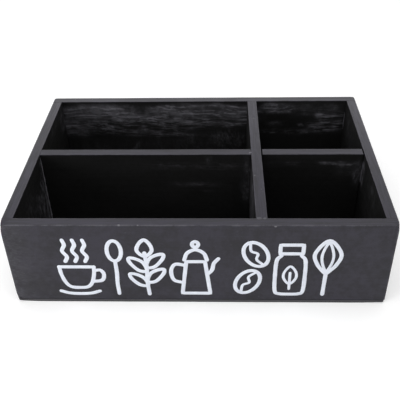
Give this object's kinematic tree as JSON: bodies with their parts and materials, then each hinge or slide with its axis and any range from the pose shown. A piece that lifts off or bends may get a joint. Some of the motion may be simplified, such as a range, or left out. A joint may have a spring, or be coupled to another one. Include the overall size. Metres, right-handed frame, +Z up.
{
  "type": "coffee station organizer",
  "caption": "Open rectangular tray of black-painted boards, whose half-lapped dividers split it into bays for coffee pods, cups, stirrers and sugar packets.",
  "frame": {"origin": "middle of the tray's footprint, on the surface that it stands on", "axes": "+X along the tray to the right seen from the front, +Y towards the back, +Z up; the decorated front face looks along -Y"},
  "size_m": [0.3, 0.205, 0.0805],
  "materials": {
    "painted_wood": "matte charcoal-black paint over sanded wood",
    "nail_steel": "plain wire, painted over at the underside",
    "white_paint": "matte off-white brushed paint on the front face"
  },
  "bodies": {
    "root": {"front_board": "painted_wood", "back_board": "painted_wood", "left_board": "painted_wood", "right_board": "painted_wood", "bottom_panel": "painted_wood", "long_divider": "painted_wood", "cross_divider": "painted_wood", "front_corner_brads": "nail_steel", "back_corner_brads": "nail_steel", "long_divider_brads": "nail_steel", "cross_divider_brads": "nail_steel", "bottom_panel_brads": "nail_steel"}
  },
  "joints": []
}
